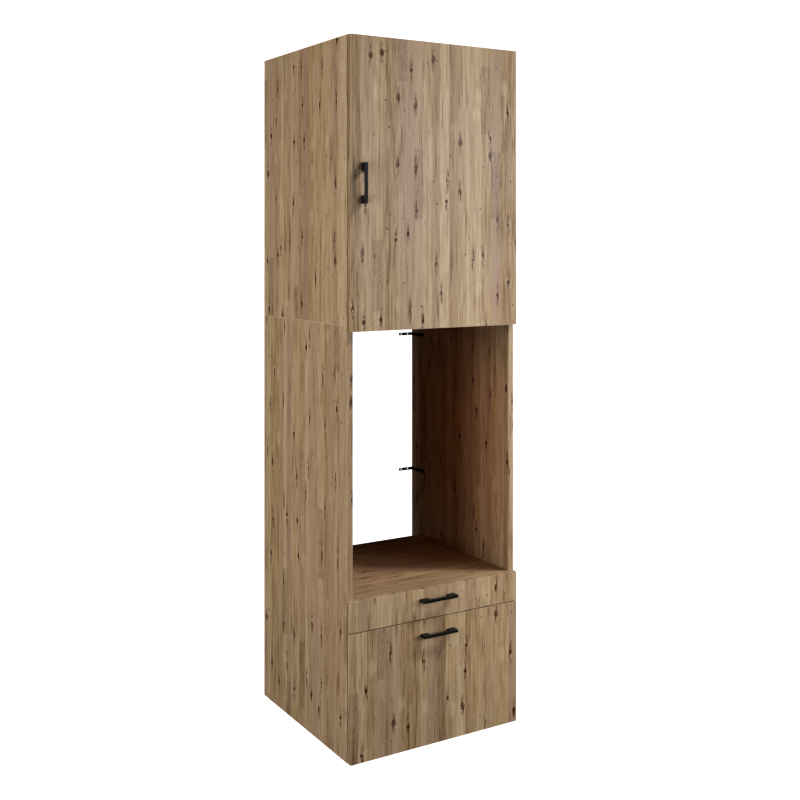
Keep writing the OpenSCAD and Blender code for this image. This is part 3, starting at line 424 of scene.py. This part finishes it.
    def feathers(self, tree: Tree, place: Socket) -> Socket:
        """Adds brown feathery streaks of late wood, bunched in some lamellas.

        Args:
            tree: Node tree that gets the nodes.
            place: Place in millimetres.

        Returns:
            Socket with the strength of the streaks.
        """
        feather = self.noise(tree, place, self.feather_mm, detail=3.0, coarse=0.62)
        feather = remap(tree, feather, self.feather_band, (0.0, self.feather_depth))
        bunch = remap(tree, self.noise(tree, place, self.bunch_mm), self.bunch_band)
        return calc(tree, "MULTIPLY", feather, bunch)

    def cells(self, tree: Tree, place: Socket,
              size_mm: Pair) -> tuple[Socket, bpy.types.Node, bpy.types.Node]:
        """Scatters places, one to a cell, each with random numbers.

        Args:
            tree: Node tree that gets the nodes.
            place: Place in millimetres.
            size_mm: Average distance across and along the grain.

        Returns:
            Socket with the place in cells, the Voronoi node and its split random colour.
        """
        scaled = self.scaled(tree, place, size_mm)
        inputs = {"Vector": scaled, "Scale": 1.0, "Randomness": self.cell_jitter}
        found = add_node(tree, "ShaderNodeTexVoronoi", inputs, voronoi_dimensions="2D")
        return scaled, found, add_node(tree, "ShaderNodeSeparateColor", {0: found.outputs["Color"]})

    def knots(self, tree: Tree, place: Socket) -> tuple[Socket, Socket, Socket, Socket]:
        """Adds oval knots with a dark rim, a brown eye and a flame along the grain.

        Args:
            tree: Node tree that gets the nodes.
            place: Place in millimetres.

        Returns:
            Sockets with the knot's darkness, the flame's strength, the paler wood round the knot
            and the push on the grain.
        """
        scaled, cells, chance = self.cells(tree, place, self.knot_cell_mm)
        offset = calc_vector(tree, "SUBTRACT", scaled, cells.outputs["Position"])
        offset = calc_vector(tree, "MULTIPLY", offset, (*self.knot_cell_mm, 0))
        there = calc(tree, "LESS_THAN", chance.outputs[0], self.knot_chance)
        ragged = self.noise(tree, place, self.rag_mm)
        ragged = calc(tree, "MULTIPLY_ADD", ragged, self.rag_reach_mm, -self.rag_reach_mm / 2)
        distance = calc(tree, "ADD", ragged, self.reach(tree, offset, self.knot_oval))
        radius = remap(tree, chance.outputs[1], (0.0, 1.0), self.knot_radius_mm)
        ratio = calc(tree, "DIVIDE", distance, radius)
        rings = ramp(tree, ratio, tuple((at, (shade, shade, shade, 1.0)) for at, shade in self.knot_rings))
        solid = calc(tree, "GREATER_THAN", chance.outputs[2], self.solid_from)
        core = blend_value(tree, solid, rings, remap(tree, ratio, self.solid_band))
        core = calc(tree, "MULTIPLY", core, there)
        near = remap(tree, self.reach(tree, offset, self.flame_mm), self.flame_band, curve="SMOOTHSTEP")
        near = calc(tree, "MULTIPLY", near, there)
        patchy = remap(tree, self.noise(tree, place, self.flame_patch_mm), self.flame_patch_band)
        flame = calc(tree, "MULTIPLY", near, patchy)
        glow = remap(
            tree, self.reach(tree, offset, self.glow_mm), self.glow_band, self.glow_light, curve="SMOOTHERSTEP"
        )
        push = calc_vector(tree, "MULTIPLY", offset, (self.grain_push, 0, 0))
        return core, flame, glow, scale_vector(tree, push, near)

    def reach(self, tree: Tree, offset: Socket, radii: Pair) -> Socket:
        """Measures an offset in radii of an oval across and along the grain."""
        oval = self.scaled(tree, offset, radii)
        return add_node(tree, "ShaderNodeVectorMath", {0: oval}, operation="LENGTH").outputs["Value"]

    def specks(self, tree: Tree, place: Socket) -> Socket:
        """Adds small dark specks.

        Args:
            tree: Node tree that gets the nodes.
            place: Place in millimetres.

        Returns:
            Socket with the darkness of the specks.
        """
        _, cells, chance = self.cells(tree, place, self.speck_cell_mm)
        radius = remap(tree, chance.outputs[1], (0.0, 1.0), self.speck_radius)
        ratio = calc(tree, "DIVIDE", cells.outputs["Distance"], radius)
        speck = remap(tree, ratio, self.speck_band, (0.0, self.speck_depth))
        return calc(tree, "MULTIPLY", speck, calc(tree, "LESS_THAN", chance.outputs[0], self.speck_chance))

    def dashes(self, tree: Tree, place: Socket, flame: Socket) -> Socket:
        """Adds short dark dashes that lean off the grain, in clusters and round the knots.

        Args:
            tree: Node tree that gets the nodes.
            place: Place in millimetres.
            flame: Strength of the knots' flames.

        Returns:
            Socket with the darkness of the dashes.
        """
        cluster = self.noise(tree, place, self.dash_cluster_mm, detail=1.0, coarse=0.5)
        cluster = remap(tree, cluster, self.dash_cluster_band, self.dash_chance)
        cluster = calc(tree, "MULTIPLY_ADD", flame, self.dash_by_flame, cluster)
        made = []
        for lean in self.dash_leans_deg:
            _, cells, chance = self.cells(tree, leaned(tree, place, lean), self.dash_cell_mm)
            there = calc(tree, "LESS_THAN", chance.outputs[0], cluster)
            radius = remap(tree, chance.outputs[1], (0.0, 1.0), self.dash_radius)
            ratio = calc(tree, "DIVIDE", cells.outputs["Distance"], radius)
            depth = remap(tree, chance.outputs[2], (0.0, 1.0), self.dash_depth)
            dash = calc(tree, "MULTIPLY", remap(tree, ratio, self.dash_band), depth)
            made.append(calc(tree, "MULTIPLY", dash, there))
        return calc(tree, "MAXIMUM", *made)

    def painted_edge_highlight(self, tree: Tree, spot: Socket, facing: Socket, board: str) -> Socket:
        """Finds the rim of the large faces along their edges, where a pale highlight is painted.

        Args:
            tree: Node tree that gets the nodes.
            spot: Place on the object in millimetres.
            facing: Absolute normal.
            board: CAD node of the board.

        Returns:
            Socket that is 1 on the rim.
        """
        low, high = (Vector(corner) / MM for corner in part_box(board))
        half = (high - low) / 2
        thin = min(range(3), key=lambda axis: half[axis])
        away = calc_vector(tree, "ABSOLUTE", calc_vector(tree, "SUBTRACT", spot, (low + high) / 2))
        inside = calc_vector(tree, "SUBTRACT", half, away)
        depths = add_node(tree, "ShaderNodeSeparateXYZ", {0: inside}).outputs
        nearest = calc(tree, "MINIMUM", *(depths[axis] for axis in range(3) if axis != thin))
        # The rim takes a painted highlight: the pale line that a lit edge shows.
        rim = calc(tree, "LESS_THAN", nearest, self.highlight_rim_mm)
        face = add_node(tree, "ShaderNodeSeparateXYZ", {0: facing}).outputs[thin]
        return calc(tree, "MULTIPLY", rim, calc(tree, "GREATER_THAN", face, FACING))

    def raw_core(self, tree: Tree, spot: Socket) -> Socket:
        """Adds the sawn particleboard that shows where a board has no edge band.

        Args:
            tree: Node tree that gets the nodes.
            spot: Place on the object in millimetres.

        Returns:
            Socket with the colour of the chips.
        """
        chips = calc_vector(tree, "MULTIPLY", spot, [1 / size for size in self.chip_mm])
        cells = add_node(tree, "ShaderNodeTexVoronoi", {"Vector": chips, "Scale": 1.0})
        shade = add_node(tree, "ShaderNodeSeparateColor", {0: cells.outputs["Color"]}).outputs[0]
        return blend(tree, shade, linear(self.chip), linear(self.bark))

    def place_on_print(self, tree: Tree, spot: Socket, facing: Socket, grain: Grain,
                       shift_mm: Pair) -> Socket:
        """Lays the print on every face of a board.

        Args:
            tree: Node tree that gets the nodes.
            spot: Place on the object in millimetres.
            facing: Absolute normal.
            grain: Direction of the grain on the large faces.
            shift_mm: Where on the print the board was cut, across and along the grain.

        Returns:
            Socket with the place on the print in millimetres.
        """
        x, y, z = add_node(tree, "ShaderNodeSeparateXYZ", {0: spot}).outputs[:3]
        facing_x, _, facing_z = add_node(tree, "ShaderNodeSeparateXYZ", {0: facing}).outputs[:3]
        if grain is Grain.UPRIGHT:
            front, side, top = (x, z), (y, z), (x, y)
        else:
            front, side, top = (z, x), (z, y), (y, x)
        place = add_node(tree, "ShaderNodeCombineXYZ", dict(enumerate(front))).outputs[0]
        for part, plane in ((facing_x, side), (facing_z, top)):
            turned = add_node(tree, "ShaderNodeCombineXYZ", dict(enumerate(plane))).outputs[0]
            inputs = {0: calc(tree, "GREATER_THAN", part, FACING), 4: place, 5: turned}
            place = add_node(tree, "ShaderNodeMix", inputs, data_type="VECTOR").outputs[1]
        return calc_vector(tree, "ADD", place, (*shift_mm, 0))

    def material(self, board: str, grain: Grain, shift_mm: Pair,
                 raw_rear: bool = False) -> bpy.types.Material:
        """Makes the decor for one board, with its own stretch of the print.

        Args:
            board: CAD node of the board.
            grain: Direction of the grain on the large faces.
            shift_mm: Where on the print the board was cut, across and along the grain.
            raw_rear: Whether the rear edge has no edge band.

        Returns:
            The material.
        """
        material, tree = new_material(f"{self.name}_{board}")
        coords = add_node(tree, "ShaderNodeTexCoord")
        spot = scale_vector(tree, coords.outputs["Object"], 1 / MM)
        facing = calc_vector(tree, "ABSOLUTE", coords.outputs["Normal"])
        pattern = add_node(tree, "ShaderNodeGroup", node_tree=self.print_group())
        tree.links.new(self.place_on_print(tree, spot, facing, grain, shift_mm), pattern.inputs["Place"])
        # Painted highlight: the pale tone is blended into a rim along the edges of the large faces.
        rim = calc(tree, "MULTIPLY", self.painted_edge_highlight(tree, spot, facing, board), self.highlight_rim_share)
        colour = blend(tree, rim, pattern.outputs["Colour"], linear(self.light))
        rough = pattern.outputs["Roughness"]
        if raw_rear:
            rearward = add_node(tree, "ShaderNodeSeparateXYZ", {0: coords.outputs["Normal"]}).outputs[1]
            sawn = calc(tree, "GREATER_THAN", rearward, FACING)
            colour = blend(tree, sawn, colour, self.raw_core(tree, spot))
            rough = blend_value(tree, sawn, rough, self.sawn_roughness)
        relief = {
            "Strength": self.emboss_strength, "Distance": self.emboss_mm * MM, "Height": pattern.outputs["Height"],
        }
        bump = add_node(tree, "ShaderNodeBump", relief).outputs[0]
        finish_shader(tree, {"Base Color": colour, "Roughness": rough, "Normal": bump, "IOR": self.ior})
        return material


@dataclass(frozen=True)
class GrainyFinish:
    """A coat, moulding or plating whose look is one colour broken up by fine noise.

    Grit is the fine noise, and clouds are the soft spots in it, 35 to a metre.
    """

    name: str
    colour: str
    second: str
    grit_mm: float
    roughness: float
    rough_spread: float
    metallic: float = 0.0
    ior: float = 1.5
    bump: float = 0.1
    band: Pair = (0.12, 0.42)
    grit_band: Pair = (0.3, 0.7)
    clouds_per_m: float = 35.0
    relief_mm: float = 0.1

    def material(self) -> bpy.types.Material:
        """Makes the material once.

        Returns:
            The material, new or found.
        """
        found = bpy.data.materials.get(self.name)
        if found:
            return found
        material, tree = new_material(self.name)
        spot = add_node(tree, "ShaderNodeTexCoord").outputs["Object"]
        fine = {"Vector": spot, "Scale": 1 / (self.grit_mm * MM), "Detail": 3.0, "Roughness": 0.6}
        grit = add_node(tree, "ShaderNodeTexNoise", fine).outputs[0]
        soft = {"Vector": spot, "Scale": self.clouds_per_m, "Detail": 2.0}
        cloud = add_node(tree, "ShaderNodeTexNoise", soft).outputs[0]
        share = remap(tree, calc(tree, "MULTIPLY", grit, cloud), self.band)
        colour = blend(tree, share, linear(self.colour), linear(self.second))
        spread = (self.roughness - self.rough_spread, self.roughness + self.rough_spread)
        rough = remap(tree, grit, self.grit_band, spread)
        relief = {"Strength": self.bump, "Distance": self.relief_mm * MM, "Height": grit}
        bump = add_node(tree, "ShaderNodeBump", relief).outputs[0]
        inputs = {"Base Color": colour, "Roughness": rough, "Normal": bump, "Metallic": self.metallic}
        if not self.metallic:
            inputs["IOR"] = self.ior
        finish_shader(tree, inputs)
        return material


PINE = KnottyPineDecor()
# Hardboard: steam-pressed wood fibre, smooth and brown. Its flecks are under 1 mm, and are drawn
# coarser so that they show
HARDBOARD = GrainyFinish("pressed_hardboard", "#73553a", "#947252", 5.0, 0.62, 0.08, bump=0.25)
# Dowels: turned beech, pale with short brown flecks
BEECH = GrainyFinish("turned_beech", "#c39a6b", "#a87d4f", 1.2, 0.6, 0.08, bump=0.2)
# Steel, stamped and nickel plated: a slightly yellow satin metal
NICKEL_STEEL = GrainyFinish(
    "satin_nickel_on_steel", "#b9b6ad", "#a9a69e", 0.5, 0.3, 0.06, metallic=1.0, bump=0.05
)
# Zinc die casting of the cam locks: grey, cloudy and duller than plated steel
ZINC_CASTING = GrainyFinish(
    "zinc_die_casting", "#a5a6a6", "#8f9192", 0.8, 0.45, 0.08, metallic=1.0, bump=0.2
)
# Handles: zinc casting with matte black powder coat, finely pebbled
BLACK_POWDER = GrainyFinish("black_powder_coat", "#121413", "#1b1e1d", 0.45, 0.46, 0.06, bump=0.22)
# Wall brackets: steel strip with a thin black cataphoretic coat
BLACK_STRIP = GrainyFinish("black_coated_steel_strip", "#1d1815", "#29211c", 1.2, 0.42, 0.08, bump=0.15)
# Bracket screws: steel, phosphated black and oiled
BLACK_OXIDE = GrainyFinish(
    "black_phosphated_steel", "#25221f", "#34302b", 0.5, 0.5, 0.08, metallic=1.0, bump=0.12
)
# Runners: cold-rolled steel with white epoxy coat
WHITE_EPOXY = GrainyFinish("white_epoxy_coat", "#d9d9d4", "#e4e3de", 1.0, 0.35, 0.05, bump=0.12)
# Rollers: moulded polyamide, milky and soft in gloss
NYLON = GrainyFinish("moulded_nylon", "#d8d6cb", "#e3e1d8", 0.7, 0.42, 0.05, ior=1.53, bump=0.06)
# Glides: moulded polyethylene, black and dull
POLYETHYLENE = GrainyFinish("moulded_polyethylene", "#17181a", "#202224", 0.6, 0.55, 0.06, ior=1.51)
# Bumpers: cast polyurethane, milky clear
POLYURETHANE = GrainyFinish("cast_polyurethane", "#c9ccca", "#d8dad8", 0.9, 0.25, 0.04, ior=1.49, bump=0.04)

WELD_MM = 0.002
SHARP_DEG = 40.0
ROUNDING_FACES = 2


def dress(node: str, material: bpy.types.Material) -> bpy.types.Object:
    """Gives a CAD node its finish.

    Args:
        node: Name of the node.
        material: Finish of the whole node.

    Returns:
        The node's object.
    """
    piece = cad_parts[node]
    piece.data.materials.clear()
    piece.data.materials.append(material)
    LOG.info("%s: %s", node, material.name)
    return piece


def round_edges(piece: bpy.types.Object, width_mm: float) -> None:
    """Breaks the sharp edges of a CAD node, as edge banding and coating do.

    Args:
        piece: The node's object.
        width_mm: Width of the rounded edge.
    """
    weld = piece.modifiers.new("weld", "WELD")
    weld.merge_threshold = WELD_MM * MM
    bevel = piece.modifiers.new("rounding", "BEVEL")
    bevel.width = width_mm * MM
    bevel.segments = ROUNDING_FACES
    bevel.limit_method = "ANGLE"
    bevel.angle_limit = math.radians(SHARP_DEG)


@dataclass
class Carcass:
    """The two stacked carcasses with their boards, backs and fittings."""

    edge_mm: float = 0.6
    bracket_edge_mm: float = 0.3
    boards: dict[str, tuple[Grain, Pair]] = field(default_factory=lambda: {
        "lower_left_side": (Grain.UPRIGHT, (140.0, 905.0)),
        "lower_right_side": (Grain.UPRIGHT, (2210.0, 310.0)),
        "bottom_panel": (Grain.ACROSS, (530.0, 4100.0)),
        "niche_floor": (Grain.ACROSS, (1710.0, 620.0)),
        "lower_top_panel": (Grain.ACROSS, (3120.0, 90.0)),
        "upper_left_side": (Grain.UPRIGHT, (4630.0, 2470.0)),
        "upper_right_side": (Grain.UPRIGHT, (5170.0, 730.0)),
        "upper_bottom_panel": (Grain.ACROSS, (6400.0, 1290.0)),
        "upper_top_panel": (Grain.ACROSS, (7150.0, 3340.0)),
        "shelf": (Grain.ACROSS, (8240.0, 2050.0)),
    })

    def build(self) -> None:
        """Dresses every board and fitting of the carcasses."""
        for node, (grain, shift) in self.boards.items():
            round_edges(dress(node, PINE.material(node, grain, shift, raw_rear=True)), self.edge_mm)
        for node in ("drawer_back_panel", "upper_back_panel"):
            dress(node, HARDBOARD.material())
        for node in ("shelf_pins", "cam_bolts", "joining_screws"):
            dress(node, NICKEL_STEEL.material())
        dress("bracket_screws", BLACK_OXIDE.material())
        dress("cam_locks", ZINC_CASTING.material())
        round_edges(dress("wall_brackets", BLACK_STRIP.material()), self.bracket_edge_mm)
        dress("glides", POLYETHYLENE.material())
        dress("dowels", BEECH.material())


@dataclass
class Door:
    """The door with its handle, bumpers and cup hinges."""

    edge_mm: float = 0.8
    handle_edge_mm: float = 0.5
    shift_mm: Pair = (9310.0, 410.0)

    def build(self) -> None:
        """Dresses the door and its hinges."""
        decor = PINE.material("door_panel", Grain.UPRIGHT, self.shift_mm)
        round_edges(dress("door_panel", decor), self.edge_mm)
        round_edges(dress("door_handle", BLACK_POWDER.material()), self.handle_edge_mm)
        for node in ("door_handle_screws", "hinge_cups", "hinge_cup_screws", "hinge_outer_links",
                     "hinge_inner_links", "hinge_arms", "hinge_plates", "hinge_plate_screws"):
            dress(node, NICKEL_STEEL.material())
        dress("door_bumpers", POLYURETHANE.material())


@dataclass
class Drawer:
    """One drawer with its front, box, handle, runners and rollers."""

    name: str
    shift_mm: Pair
    edge_mm: float = 0.4
    handle_edge_mm: float = 0.5
    # Distance on the print from one board of the drawer to the next
    board_step_mm: float = 617.0

    def build(self) -> None:
        """Dresses the drawer and the runners that carry it."""
        boards = {
            "front": Grain.UPRIGHT, "left_side": Grain.ACROSS, "right_side": Grain.ACROSS, "back": Grain.ACROSS,
        }
        for step, (part, grain) in enumerate(boards.items()):
            node = f"{self.name}_{part}"
            shift = (self.shift_mm[0] + self.board_step_mm * step, self.shift_mm[1])
            round_edges(dress(node, PINE.material(node, grain, shift)), self.edge_mm)
        dress(f"{self.name}_bottom", HARDBOARD.material())
        round_edges(dress(f"{self.name}_handle", BLACK_POWDER.material()), self.handle_edge_mm)
        for part in ("handle_screws", "fittings"):
            dress(f"{self.name}_{part}", NICKEL_STEEL.material())
        for part in ("cabinet_runners", "drawer_runners"):
            dress(f"{self.name}_{part}", WHITE_EPOXY.material())
        for end in ("front", "rear"):
            for side in ("left", "right"):
                dress(f"{self.name}_{end}_roller_{side}", NYLON.material())


@dataclass(frozen=True)
class Lamp:
    """One square soft light that the camera doesn't see.

    Glossy surfaces mirror it, except where glossy is off, as behind a polarising filter. A grid
    that narrows its spread keeps the light off what lies beside its aim.
    """

    name: str
    place_m: Triple
    aim_m: Triple
    size_m: float
    watts: float
    colour: str = WHITE
    glossy: bool = True
    spread_deg: float = 180.0

    def hang(self) -> None:
        """Adds the lamp to the scene and points it at its aim."""
        data = bpy.data.lights.new(self.name, "AREA")
        data.size = self.size_m
        data.energy = self.watts
        data.spread = math.radians(self.spread_deg)
        data.color = linear(self.colour)[:3]
        lamp = bpy.data.objects.new(self.name, data)
        lamp.location = self.place_m
        lamp.visible_camera = False
        lamp.visible_glossy = self.glossy
        way = Vector(self.aim_m) - Vector(self.place_m)
        lamp.rotation_euler = way.to_track_quat("-Z", "Y").to_euler()
        bpy.context.scene.collection.objects.link(lamp)


@dataclass
class Studio:
    """Pale floor, soft lights and the camera at the photograph's viewing angle."""

    picture_px: float = 800.0
    sensor_mm: float = 36.0
    focal_px: float = 1130.1
    horizon_px: float = 239.9
    eye_m: Triple = (-1.8723, -3.1615, 1.5275)
    turn_deg: float = 31.195
    floor_m: float = 120.0
    # Shade of the floor for the light that it bounces, and as the camera sees it
    floor_shades: Pair = (0.03, 0.9)
    # Part of what the camera sees of the floor that glows, and so takes no shadow
    floor_glow: float = 0.93
    # Strength of the backdrop as a light, and as the camera sees it
    backdrop_strengths: Pair = (0.01, 1.0)
    lamps: tuple[Lamp, ...] = (
        Lamp("softbox", (2.2, -3.1, 1.95), (0.0, -0.28, 1.7), 1.4, 23.0, "#e8f0ff"),
        Lamp("high", (3.0, -2.0, 4.9), (0.0, -0.28, 0.6), 0.8, 194.0, glossy=False),
        Lamp("low_right", (1.5, -1.7, 0.8), (0.1, -0.28, 0.4), 0.7, 20.0, glossy=False),
        Lamp("left_fill", (-3.5, -0.58, 1.3), (-0.3, 0.0, 1.15), 2.6, 107.0),
        Lamp("front_fill", (0.5, -4.6, 0.7), (0.0, -0.28, 0.6), 2.0, 21.0),
        Lamp("rear_high", (0.0, 2.3, 1.85), (0.0, 0.31, 1.75), 0.7, 2.6, glossy=False, spread_deg=40.0),
        Lamp("rear_low", (0.0, 2.3, 0.16), (0.0, 0.31, 0.2), 0.5, 1.5, glossy=False, spread_deg=30.0),
        Lamp("niche_fill", (0.0, -0.26, 0.86), (0.0, 0.6, 0.86), 0.5, 0.26, "#ff8a36", glossy=False),
    )

    def build(self) -> None:
        """Builds the camera, the floor, the lights and the backdrop."""
        self.camera()
        self.floor()
        for lamp in self.lamps:
            lamp.hang()
        self.backdrop()

    def camera(self) -> None:
        """Sets up the camera, level, with the horizon above the middle of the picture."""
        data = bpy.data.cameras.new("camera")
        data.sensor_width = self.sensor_mm
        data.lens = self.focal_px / self.picture_px * self.sensor_mm
        data.shift_y = (self.horizon_px - self.picture_px / 2) / self.picture_px
        camera = bpy.data.objects.new("camera", data)
        camera.location = self.eye_m
        camera.rotation_euler = (math.pi / 2, 0.0, -math.radians(self.turn_deg))
        bpy.context.scene.collection.objects.link(camera)
        bpy.context.scene.camera = camera

    def floor(self) -> None:
        """Lays a pale floor that shows the soft shadows and bounces little light."""
        half = self.floor_m / 2
        corners = [(-half, -half, 0), (half, -half, 0), (half, half, 0), (-half, half, 0)]
        mesh = bpy.data.meshes.new("floor")
        mesh.from_pydata(corners, [], [(0, 1, 2, 3)])
        floor = bpy.data.objects.new("floor", mesh)
        material, tree = new_material("pale_studio_floor")
        seen = add_node(tree, "ShaderNodeLightPath").outputs["Is Camera Ray"]
        shade = remap(tree, seen, (0.0, 1.0), self.floor_shades)
        dull = add_node(tree, "ShaderNodeBsdfDiffuse", {"Color": shade}).outputs[0]
        pale = add_node(tree, "ShaderNodeEmission", {"Color": linear(WHITE), "Strength": 1.0}).outputs[0]
        part = calc(tree, "MULTIPLY", seen, self.floor_glow)
        both = add_node(tree, "ShaderNodeMixShader", {0: part, 1: dull, 2: pale}).outputs[0]
        add_node(tree, "ShaderNodeOutputMaterial", {0: both})
        mesh.materials.append(material)
        bpy.context.scene.collection.objects.link(floor)

    def backdrop(self) -> None:
        """Makes a white backdrop that gives only a little light of its own."""
        world = bpy.data.worlds.new("backdrop")
        bpy.context.scene.world = world
        world.use_nodes = True
        tree = world.node_tree
        tree.nodes.clear()
        seen = add_node(tree, "ShaderNodeLightPath").outputs["Is Camera Ray"]
        strength = remap(tree, seen, (0.0, 1.0), self.backdrop_strengths)
        shine = add_node(tree, "ShaderNodeBackground", {"Color": linear(WHITE), "Strength": strength})
        add_node(tree, "ShaderNodeOutputWorld", {0: shine.outputs[0]})
        bpy.context.scene.view_settings.view_transform = "Standard"
        bpy.context.scene.view_settings.look = "High Contrast"


def main() -> None:
    """Builds the studio and dresses each sub-assembly."""
    logging.basicConfig(level=logging.INFO, format="%(name)s %(message)s")
    Studio().build()
    Carcass().build()
    Door().build()
    Drawer("shallow", (10120.0, 1840.0)).build()
    Drawer("deep", (13450.0, 2660.0)).build()


if __name__ == "__main__":
    main()
